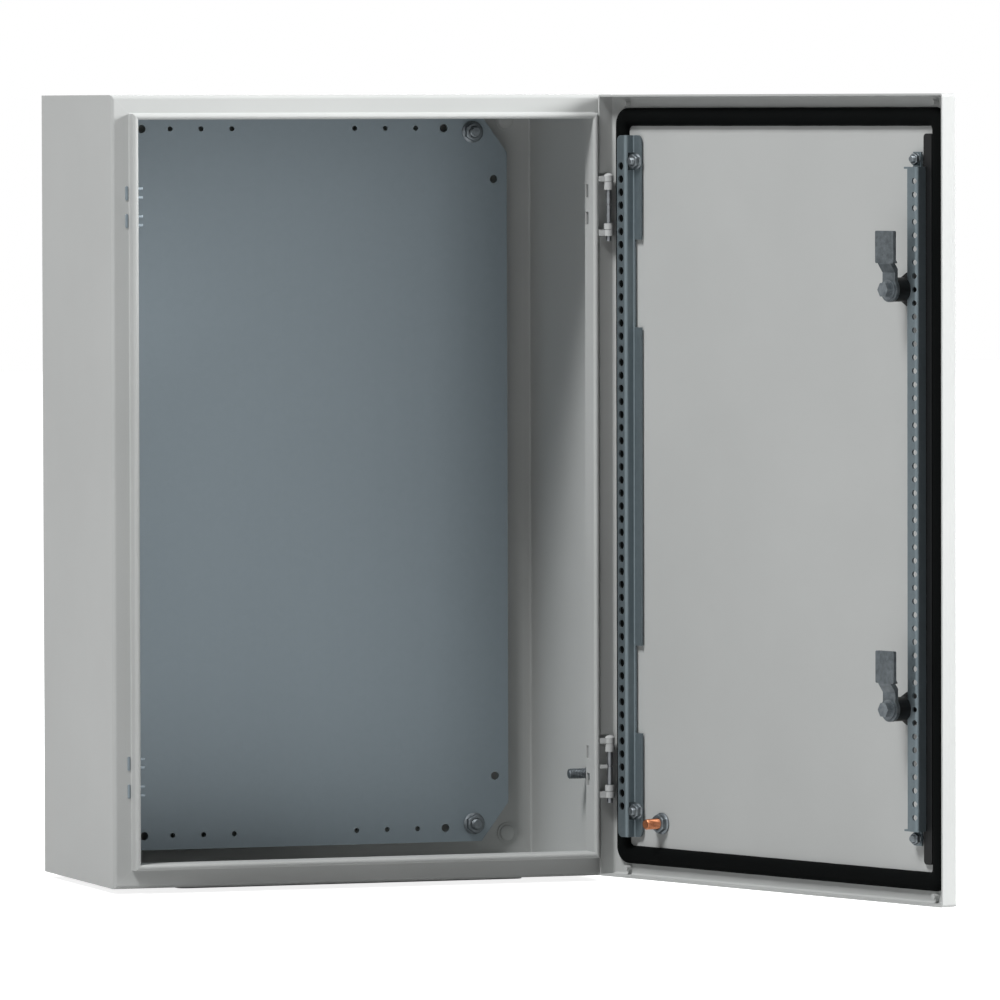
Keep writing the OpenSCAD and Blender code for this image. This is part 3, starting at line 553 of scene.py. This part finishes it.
@dataclass(frozen=True)
class MouldedBlack(Finish):
    """Black plastic or black-coated die casting: a fine even grain, paler where an edge has been rubbed."""

    dark: str = "#08090A"
    light: str = "#101112"
    edge: str = "#303234"
    edge_mm: float = 0.45
    edge_gain: float = 1.2
    edge_share: float = 0.5
    cloud_mm: float = 12.0
    grain_mm: float = 0.7
    rough: tuple[float, float] = (0.46, 0.62)
    relief_mm: float = 0.02
    relief_strength: float = 0.6
    ior: float = 1.5
    sheen: float = 0.25

    def build(self) -> bpy.types.Material:
        """Makes the black finish's material.

        Returns:
            The material.
        """
        material, tree, shader, coords = self.start()
        grains = {"Vector": coords, "Scale": per_metre(self.grain_mm), "Detail": FINE}
        grain = add(tree, "TexNoise", grains).outputs["Fac"]
        clouds = {"Vector": coords, "Scale": per_metre(self.cloud_mm), "Detail": BROAD}
        cloud = add(tree, "TexNoise", clouds).outputs["Fac"]
        tints = {0: cloud, 6: linear(self.dark), 7: linear(self.light)}
        base = add(tree, "Mix", tints, data_type="RGBA").outputs[2]
        edge_wear_and_highlight = self.edges(tree, self.edge_mm, self.edge_gain)
        mask = add(tree, "Math", {0: edge_wear_and_highlight, 1: self.edge_share}, operation="MULTIPLY").outputs[0]
        rubbed = add(tree, "Mix", {0: mask, 6: base, 7: linear(self.edge)}, data_type="RGBA").outputs[2]
        self.link(tree, shader, rubbed, grain, grain)
        shader.inputs["IOR"].default_value = self.ior
        shader.inputs["Specular IOR Level"].default_value = self.sheen
        return material


class Slot(Enum):
    """The record's material slots."""

    BODY = "body_paint"
    DOOR = "door_paint"
    HINGE = "hinge_paint"
    PLATE = "galvanised_plate"
    RAIL = "galvanised_rail"
    ZINC = "zinc_plated"
    PIN = "pin_steel"
    FOAM = "gasket_foam"
    PLASTIC = "black_plastic"
    LOCK = "black_lock"
    CAM = "cam_steel"
    COPPER = "copper"


def finishes() -> dict[Slot, Finish]:
    """The finish of each slot.

    Returns:
        One finish for each member of Slot.
    """
    return {
        Slot.BODY: PowderCoat("powder_coat_body"),
        Slot.DOOR: PowderCoat("powder_coat_door"),
        Slot.HINGE: PowderCoat(
            "powder_coat_die_cast",
            shade="#B2B4B4",
            shade_far="#BABCBC",
            # edge and edge_share: the painted highlight along the edges
            edge="#CCCECD",
            edge_share=0.25,
            cloud_mm=15.0,
            peel_mm=1.2,
        ),
        Slot.PLATE: GalvanisedSheet("galvanised_sheet"),
        Slot.RAIL: GalvanisedSheet(
            "galvanised_strip",
            dark="#5F6A6F",
            light="#707B80",
            spangle_mm=3.0,
            streak_mm=3.0,
        ),
        Slot.ZINC: PlatedSteel("zinc_plated_steel"),
        Slot.PIN: PlatedSteel(
            "drawn_steel_zinc_plated",
            dark="#6A6D70",
            light="#84878A",
            edge="#A0A3A5",
            draw=(1.0, 1.0, 0.05),
        ),
        Slot.FOAM: SkinnedFoam("polyurethane_foam_skinned"),
        Slot.PLASTIC: MouldedBlack("moulded_black_plastic"),
        Slot.LOCK: MouldedBlack("black_coated_die_casting", rough=(0.34, 0.5), grain_mm=1.0),
        Slot.CAM: PlatedSteel(
            "pressed_steel_dull_zinc",
            dark="#505558",
            light="#6E7478",
            edge="#8E9396",
            rough=(0.4, 0.56),
        ),
        Slot.COPPER: PlatedSteel(
            "copper_plated_steel",
            dark="#8C563A",
            light="#B67A58",
            edge="#CF9F82",
            rough=(0.36, 0.50),
        ),
    }


class CadDress:
    """Gives every CAD node the finish of its slot."""

    def build(self, made: dict[str, bpy.types.Material]) -> None:
        """Assigns the finishes to the nodes' material slots.

        Args:
            made: slot name to its material.
        """
        for part in frame["record"]["subparts"]:
            node = frame["nodes"][part["node"]]
            for slot in node.material_slots:
                slot.material = made[part["material_slot"]]
            LOG.info("%s: %s", part["node"], made[part["material_slot"]].name)


# --------------------------------------------------------------------- pieces


@dataclass
class Piece:
    """What every new piece shares: its finishes and the way it is put on a body. Sizes are in millimetres."""

    made: dict[str, bpy.types.Material]
    place: DoorPlace

    def put(self, name: str, shape: Surface, body: str, slot: Slot, stands_for: str | None) -> None:
        """Links a surface as a piece, dresses it and makes it ride.

        Args:
            name: the piece's name.
            shape: its points and quads, with door pieces given as on the closed door.
            body: the body that it rides on.
            slot: its material slot.
            stands_for: the CAD node that it replaces, if any.
        """
        points = self.place(shape.points) if body == "door" else shape.points
        piece = new_piece(name, points, shape.faces)
        piece.data.materials.append(self.made[slot.value])
        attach(piece, body)
        if stands_for:
            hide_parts(stands_for)
        LOG.info("%s: %d faces on %s", name, len(piece.data.polygons), body)


@dataclass
class DoorSeal(Piece):
    """The foam seal poured round the door: a crowned bead between two rounded rectangles."""

    skin: float = 208.5
    thick: float = 5.7
    crown_power: float = 2.2
    shift: float = 2.2
    outer: Point = (381.2, 579.0, 12.0)
    inner: Point = (353.2, 551.0, 4.0)
    across: int = 23
    in_corner: int = 20
    in_straight: int = 90
    ripple_turns: tuple[int, ...] = (23, 41, 67)
    ripple_across: float = 0.01
    ripple_up: float = 0.015

    def build(self) -> None:
        """Carries the bead's section round its path.

        Across the bead u runs from -1 inside to 1 outside, and the crown stands t * (1 - |u|^p)^0.5 off the
        door, with p the crown's power. Three sine waves along the pour ripple its width and its height, each
        way by under a tenth of a millimetre.
        """
        ends = (self.outer, self.inner)
        out, back = (rounded_outline(size, self.in_corner, self.in_straight) for size in ends)
        mid, half = (out + back) / 2, (out - back) / 2
        step = np.linalg.norm(np.roll(mid, -1, axis=0) - mid, axis=1)
        along = np.concatenate([[0], np.cumsum(step)[:-1]])
        waves = [np.sin(2 * math.pi * along / along[-1] * turns + turns) for turns in self.ripple_turns]
        ripple = sum(waves) / len(waves)
        u = -np.cos(np.linspace(0, math.pi, self.across))
        crown = self.thick * np.sqrt(np.clip(1 - np.abs(u) ** self.crown_power, 0, 1))
        edge = u[None, :] * (1 - self.ripple_across + self.ripple_across * ripple[:, None])
        flat = mid[:, None, :] + half[:, None, :] * edge[:, :, None]
        off = crown[None, :] * (1 - self.ripple_up + self.ripple_up * ripple[:, None])
        points = np.stack([flat[..., 0] + self.shift / 2, off - self.skin, flat[..., 1]], axis=-1)
        faces = grid_faces(len(mid), self.across, True, True)[:, ::-1]
        bead = Surface(points.reshape(-1, 3) * MM, faces)
        self.put("door_seal_foam", bead, "door", Slot.FOAM, "door_gasket")


@dataclass(frozen=True)
class Thread:
    """A metric thread as cut on a rod: its outer radius, its pitch and the shape of its tooth."""

    major: float
    pitch: float
    depth_share: float = 0.61
    flat: float = 0.15
    sides: int = 40
    rows_a_turn: int = 8

    def rod(self, length: float, chamfer: float = 0.8) -> Surface:
        """A threaded rod that stands on z = 0.

        The radius at height h and direction a is the core plus the tooth at the phase h / pitch - a / 2 pi.
        The tooth is a triangle wave with its tip and root cut flat. A cone takes the last thread down at the
        end.

        Args:
            length: its length.
            chamfer: length of the cone at its end.

        Returns:
            The rod, closed at both ends.
        """
        height = np.linspace(0, length, max(int(length / self.pitch * self.rows_a_turn), self.rows_a_turn))
        turn = np.linspace(0, 1, self.sides, endpoint=False)
        phase = (height[:, None] / self.pitch - turn[None, :]) % 1
        tooth = np.clip((1 - np.abs(2 * phase - 1) - self.flat) / (1 - 2 * self.flat), 0, 1)
        depth = self.depth_share * self.pitch
        radius = self.major - depth * (1 - tooth)
        cone = self.major - np.clip(height - (length - chamfer), 0, None)[:, None]
        radius = np.minimum(radius, np.maximum(cone, self.major - depth))
        caps = np.zeros((1, self.sides))
        return lathe(np.concatenate([caps, radius, caps]), np.concatenate([[0], height, [length]]), False)


@dataclass(frozen=True)
class FlangeNut:
    """A hexagon nut with a round flange, chamfered corners and a threaded bore."""

    flats: float
    height: float
    bore: float
    flange_r: float
    flange_h: float
    ease: float = 0.3
    brim_share: float = 0.7
    slope: float = 0.7
    fillet: float = 0.35
    chamfer: float = 1.0
    chamfer_rows: int = 7
    crown_share: float = 0.95
    countersink: float = 0.5
    sides: int = 96

    def shape(self) -> Surface:
        """The nut on z = 0.

        In each direction a the hexagon stands half the flats over the cosine of the angle to the nearest
        flat. Each station of the section has a limit, and the radius is the smaller of the two. The first
        four stations are the flange and the last four are the bore, where the limit alone holds.

        Returns:
            The nut, closed round its ring.
        """
        turn = np.linspace(0, 2 * math.pi, self.sides, endpoint=False)
        to_flat = (turn + math.pi / 6) % (math.pi / 3) - math.pi / 6
        hexagon = self.flats / 2 / np.cos(to_flat)
        corner = self.flats / 2 / math.cos(math.pi / 6)
        top = np.linspace(0, 1, self.chamfer_rows)[1:]
        shoulder = self.height - self.chamfer
        height = np.concatenate([
            [0, self.ease, self.flange_h * self.brim_share, self.flange_h],
            [self.flange_h + self.fillet, shoulder],
            shoulder + top * self.chamfer,
            [self.height, self.height - self.countersink, self.countersink, 0],
        ])
        limit = np.concatenate([
            [self.flange_r - self.ease, self.flange_r, self.flange_r, self.flange_r - self.slope],
            [corner, corner],
            corner - top**2 * (corner - self.flats / 2 * self.crown_share),
            [self.bore + self.countersink, self.bore, self.bore, self.bore + self.countersink],
        ])
        radius = np.repeat(limit[:, None], self.sides, axis=1)
        radius[4:-4] = np.minimum(hexagon, radius[4:-4])
        return lathe(radius, height, True)


M8 = Thread(4.0, 1.25)
M6 = Thread(3.0, 1.0)
M5 = Thread(2.5, 0.8)


@dataclass
class Fasteners(Piece):
    """Studs with their threads, and the nuts on them."""

    plate_stud_x: float = 146.5
    plate_stud_z: float = 271.0
    plate_front: float = 14.0
    plate_t: float = 2.0
    plate_nut: FlangeNut = FlangeNut(13.0, 6.5, 4.05, 8.5, 1.6)
    stud_end: float = 24.5
    collar_r: float = 7.0
    sheet: float = 1.5
    earth_foot: tuple[float, float] = (5.5, 1.0)

    def build(self) -> None:
        """Makes the plate studs and their nuts, and the body's earth stud."""
        rod = M8.rod(self.stud_end - self.sheet)
        collar = disc(self.collar_r, self.plate_front - self.plate_t - self.sheet)
        nut = self.plate_nut.shape()
        studs, nuts = [], []
        for x, z in four_corners(self.plate_stud_x, self.plate_stud_z):
            studs += [part.aimed(metres(x, -self.sheet, z), FRONT) for part in (collar, rod)]
            nuts.append(nut.aimed(metres(x, -self.plate_front, z), FRONT))
        self.put("plate_studs_threaded", joined(studs), "body", Slot.ZINC, "plate_studs")
        self.put("plate_flange_nuts", joined(nuts), "body", Slot.ZINC, "plate_nuts")
        low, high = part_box("body_earth_stud")
        root = (high[0], (low[1] + high[1]) / 2, (low[2] + high[2]) / 2)
        parts = (disc(*self.earth_foot), M8.rod((high[0] - low[0]) / MM))
        earth = joined([part.aimed(root, LEFT) for part in parts])
        self.put("earth_stud_threaded", earth, "body", Slot.ZINC, "body_earth_stud")


@dataclass
class DoorFasteners(Piece):
    """The threaded studs on the door: four for the rails and the copper earth stud, with their nuts."""

    skin: float = 208.5
    rise: float = 1.5
    sheet: float = 1.5
    hinge_side: tuple[float, float] = (166.0, 248.6)
    hinge_side_nut: FlangeNut = FlangeNut(10.0, 4.8, 3.05, 6.2, 1.1)
    lock_side: tuple[float, float] = (-159.3, 251.2)
    lock_side_nut: FlangeNut = FlangeNut(8.0, 4.0, 2.55, 4.4, 1.1)
    spare: float = 1.5
    chamfer: float = 0.6
    foot_over: float = 1.0
    earth: tuple[float, float] = (140.0, -256.8)
    earth_l: float = 17.0
    earth_nut: FlangeNut = FlangeNut(13.0, 5.5, 4.05, 8.25, 1.6)

    def build(self) -> None:
        """Makes the studs and nuts as on the closed door, all pointing to the back."""
        kinds = ((self.hinge_side, M6, self.hinge_side_nut), (self.lock_side, M5, self.lock_side_nut))
        studs, nuts = [], []
        for (x, z), thread, nut in kinds:
            rod = thread.rod(self.rise + self.sheet + 2 * thread.major + self.spare, self.chamfer)
            foot = disc(thread.major + self.foot_over, self.rise)
            for end in (-z, z):
                studs += [part.aimed(metres(x, -self.skin, end), BACK) for part in (foot, rod)]
                seat = metres(x, -(self.skin - self.rise - self.sheet), end)
                nuts.append(nut.shape().aimed(seat, BACK))
        self.put("rail_studs_threaded", joined(studs), "door", Slot.ZINC, "rail_studs")
        self.put("rail_flange_nuts", joined(nuts), "door", Slot.ZINC, "rail_nuts")
        x, z = self.earth
        root = metres(x, -self.skin, z)
        rod = M8.rod(self.earth_l).aimed(root, BACK)
        self.put("door_earth_stud_threaded", rod, "door", Slot.COPPER, "door_earth_stud")
        nut = self.earth_nut.shape().aimed(root, BACK)
        self.put("door_earth_flange_nut", nut, "door", Slot.ZINC, "door_earth_nut")


@dataclass
class SlotCaps(Piece):
    """Snap-in metal caps in the unused hinge slots: a thin pad on the flange and two barbs behind the rim."""

    pad: Point = (2.3, 10.6, 0.9)
    pad_h: float = 0.6
    pad_ease: float = 0.35
    pad_x: float = -187.85
    flange: float = -191.5
    stem: Point = (1.8, 9.6, 0.4)
    stem_l: float = 5.8
    stem_ease: float = 0.3
    barb: Point = (2.6, 2.4, 0.8)
    barb_l: float = 13.9
    barb_ease: float = 0.7
    barb_x: float = -187.7
    barb_y: float = -186.8
    barb_apart: float = 3.3
    middles: tuple[float, float] = (205.0, 226.0)
    least_corner: float = 0.05
    in_ease: int = 5
    in_corner: int = 6
    in_straight: int = 2

    def slab(self, size: Point, height: float, ease: float) -> Surface:
        """A rounded rectangle carried up Z, its upper edge eased in by a quarter circle.

        Args:
            size: width, length and corner radius.
            height: how far it stands up.
            ease: radius of the upper edge.

        Returns:
            The slab, closed at both ends.
        """
        a = np.linspace(0, math.pi / 2, self.in_ease)
        inset = np.concatenate([[0.0], ease * (1 - np.cos(a))])
        level = np.concatenate([[0.0], height - ease + ease * np.sin(a)])
        w, l, r = size
        sizes = [(w - 2 * i, l - 2 * i, max(r - i, self.least_corner)) for i in inset]
        rows = [rounded_outline(eased, self.in_corner, self.in_straight) for eased in sizes]
        rows = [rows[0] * 0, *rows, rows[-1] * 0]
        heights = np.concatenate([[0.0], level, [height]])
        points = [np.column_stack([row, np.full(len(row), h)]) for row, h in zip(rows, heights)]
        return Surface(np.concatenate(points) * MM, grid_faces(len(rows), len(rows[0]), False, True))

    def build(self) -> None:
        """Puts a pad, a stem and two barbs at each slot."""
        pad = self.slab(self.pad, self.pad_h, self.pad_ease)
        stem = self.slab(self.stem, self.stem_l, self.stem_ease)
        barb = self.slab(self.barb, self.barb_l, self.barb_ease)
        parts = []
        for z in (s * m for s in (-1, 1) for m in self.middles):
            at = metres(self.pad_x, self.flange, z)
            parts += [pad.aimed(at, FRONT), stem.aimed(at, BACK)]
            for off in (-self.barb_apart, self.barb_apart):
                parts.append(barb.aimed(metres(self.barb_x, self.barb_y, z + off), RIGHT))
        self.put("hinge_slot_caps", joined(parts), "body", Slot.PLATE, "hinge_slot_plugs")


@dataclass
class WallPlugs(Piece):
    """Snap-in plugs that close the four wall holes: a low dome over a hollow stem."""

    x: float = 178.0
    z: float = 280.0
    seat: float = 2.5
    dome_r: float = 6.2
    dome_h: float = 2.0
    dome_rows: int = 12
    rim_h: float = 0.4
    stem_r: float = 4.1
    stem_l: float = 2.2
    sides: int = 40

    def build(self) -> None:
        """Turns each plug: stem, underside of the dome, rim, and the dome as a quarter ellipse."""
        a = np.linspace(0, math.pi / 2, self.dome_rows)
        radius = np.concatenate([[0, self.stem_r, self.stem_r, self.dome_r], self.dome_r * np.cos(a)])
        dome = self.rim_h + (self.dome_h - self.rim_h) * np.sin(a)
        height = np.concatenate([[-self.stem_l, -self.stem_l, 0.0, 0.0], dome])
        plug = lathe(np.repeat(radius[:, None], self.sides, axis=1), height, False)
        placed = [plug.aimed(metres(x, -self.seat, z), FRONT) for x, z in four_corners(self.x, self.z)]
        self.put("wall_hole_plugs", joined(placed), "body", Slot.BODY, None)


# ---------------------------------------------------------------------- stage


@dataclass(frozen=True)
class Lamp:
    """One soft square lamp: where it is, the point it faces, its side and its power."""

    name: str
    at: Point
    aim: Point
    side: float
    watts: float

    def build(self) -> None:
        """Makes the lamp."""
        data = bpy.data.lights.new(self.name, "AREA")
        data.shape, data.size, data.size_y, data.energy = "RECTANGLE", self.side, self.side, self.watts
        lamp = bpy.data.objects.new(self.name, data)
        bpy.context.scene.collection.objects.link(lamp)
        lamp.location = self.at
        lamp.rotation_euler = (Vector(self.aim) - Vector(self.at)).to_track_quat("-Z", "Y").to_euler()


@dataclass
class Studio:
    """Camera, lamps, world and floor.

    The key stands low at the right front, a second lamp high on the left, and a weak one behind.
    """

    lens: float = 350.8
    sensor: float = 36.0
    far: float = 60.0
    eye: Point = (-2.27616, -7.24501, 0.28867)
    yaw: float = 0.327833
    pitch: float = 0.0399725
    roll: float = -0.00238328
    shift: tuple[float, float] = (-0.0174, -0.0012)
    lamps: tuple[Lamp, ...] = (
        Lamp("key", (3.4, -2.2, 1.5), (0.1, -0.2, 0.0), 1.6, 248.0),
        Lamp("left", (-2.2, -1.6, 3.9), (0.1, -0.2, 0.0), 1.4, 215.0),
        Lamp("back", (0.6, 2.6, 1.4), (0.0, 0.0, 0.0), 1.6, 40.0),
    )
    ambient: float = 0.04
    floor_half: float = 14.0
    floor_gap: float = 0.0005
    floor_shade: str = "#C4C4C4"
    floor_rough: float = 0.9
    glow: tuple[float, float] = (0.84, 1.0)
    glow_reach: tuple[float, float] = (0.6, 2.0)

    def camera(self) -> None:
        """Makes the camera and sets it as the scene's."""
        data = bpy.data.cameras.new("camera")
        data.lens, data.sensor_width = self.lens, self.sensor
        data.shift_x, data.shift_y = self.shift
        data.clip_end = self.far
        cam = bpy.data.objects.new("camera", data)
        bpy.context.scene.collection.objects.link(cam)
        cy, sy, cp, sp = math.cos(self.yaw), math.sin(self.yaw), math.cos(self.pitch), math.sin(self.pitch)
        ahead = Vector((sy * cp, cy * cp, -sp))
        right, up = Vector((cy, -sy, 0.0)), Vector((sp * sy, sp * cy, cp))
        cr, sr = math.cos(self.roll), math.sin(self.roll)
        axes = (cr * right + sr * up, -sr * right + cr * up, -ahead)
        cam.matrix_world = Matrix.Translation(self.eye) @ Matrix(axes).transposed().to_4x4()
        bpy.context.scene.camera = cam

    def world(self) -> None:
        """Makes the world: a faint light, seen as white by the camera, through glass and in reflections."""
        world = bpy.data.worlds.new("studio")
        bpy.context.scene.world = world
        world.use_nodes = True
        tree = world.node_tree
        path = add(tree, "LightPath").outputs
        direct = {0: path["Is Camera Ray"], 1: path["Is Transmission Ray"]}
        seen = add(tree, "Math", direct, operation="MAXIMUM").outputs[0]
        seen = add(tree, "Math", {0: seen, 1: path["Is Glossy Ray"]}, operation="MAXIMUM").outputs[0]
        strength = add(tree, "MapRange", {"Value": seen, "To Min": self.ambient, "To Max": 1.0})
        tree.links.new(strength.outputs["Result"], tree.nodes["Background"].inputs["Strength"])
        tree.nodes["Background"].inputs["Color"].default_value = WHITE

    def floor(self) -> None:
        """Makes the pale floor under the enclosure, white to the camera where no shadow falls on it."""
        level, half = CAD_BOX[0].z - self.floor_gap, self.floor_half
        flat = ((-half, -half), (half, -half), (half, half), (-half, half))
        corners = np.array([(x, y, level) for x, y in flat])
        floor = new_piece("floor", corners, np.array([[0, 1, 2, 3]]), smooth=False)
        material = bpy.data.materials.new("floor_paper")
        material.use_nodes = True
        tree = material.node_tree
        shader = tree.nodes["Principled BSDF"]
        shader.inputs["Base Color"].default_value = linear(self.floor_shade)
        shader.inputs["Roughness"].default_value = self.floor_rough
        shader.inputs["Emission Color"].default_value = WHITE
        path = add(tree, "LightPath").outputs
        rays = {0: path["Is Camera Ray"], 1: path["Is Glossy Ray"]}
        seen = add(tree, "Math", rays, operation="MAXIMUM").outputs[0]
        coords = add(tree, "TexCoord").outputs["Object"]
        away = add(tree, "VectorMath", {0: coords}, operation="LENGTH").outputs["Value"]
        (near, far), (low, high) = self.glow_reach, self.glow
        reach = {"Value": away, "From Min": near, "From Max": far, "To Min": low, "To Max": high}
        glow = add(tree, "MapRange", reach).outputs[0]
        lift = add(tree, "Math", {0: seen, 1: glow}, operation="MULTIPLY").outputs[0]
        tree.links.new(lift, shader.inputs["Emission Strength"])
        floor.data.materials.append(material)

    def build(self) -> None:
        """Sets up everything that isn't part of the object."""
        self.camera()
        for lamp in self.lamps:
            lamp.build()
        self.world()
        self.floor()
        bpy.context.scene.view_settings.view_transform = "Standard"


def main() -> None:
    """Builds the stage, the finishes and the pieces in order."""
    logging.basicConfig(level=logging.INFO, format="%(message)s")
    Studio().build()
    made = {slot.value: finish.build() for slot, finish in finishes().items()}
    CadDress().build(made)
    place = DoorPlace()
    for maker in (DoorSeal, Fasteners, DoorFasteners, SlotCaps, WallPlugs):
        maker(made, place).build()


if __name__ == "__main__":
    main()
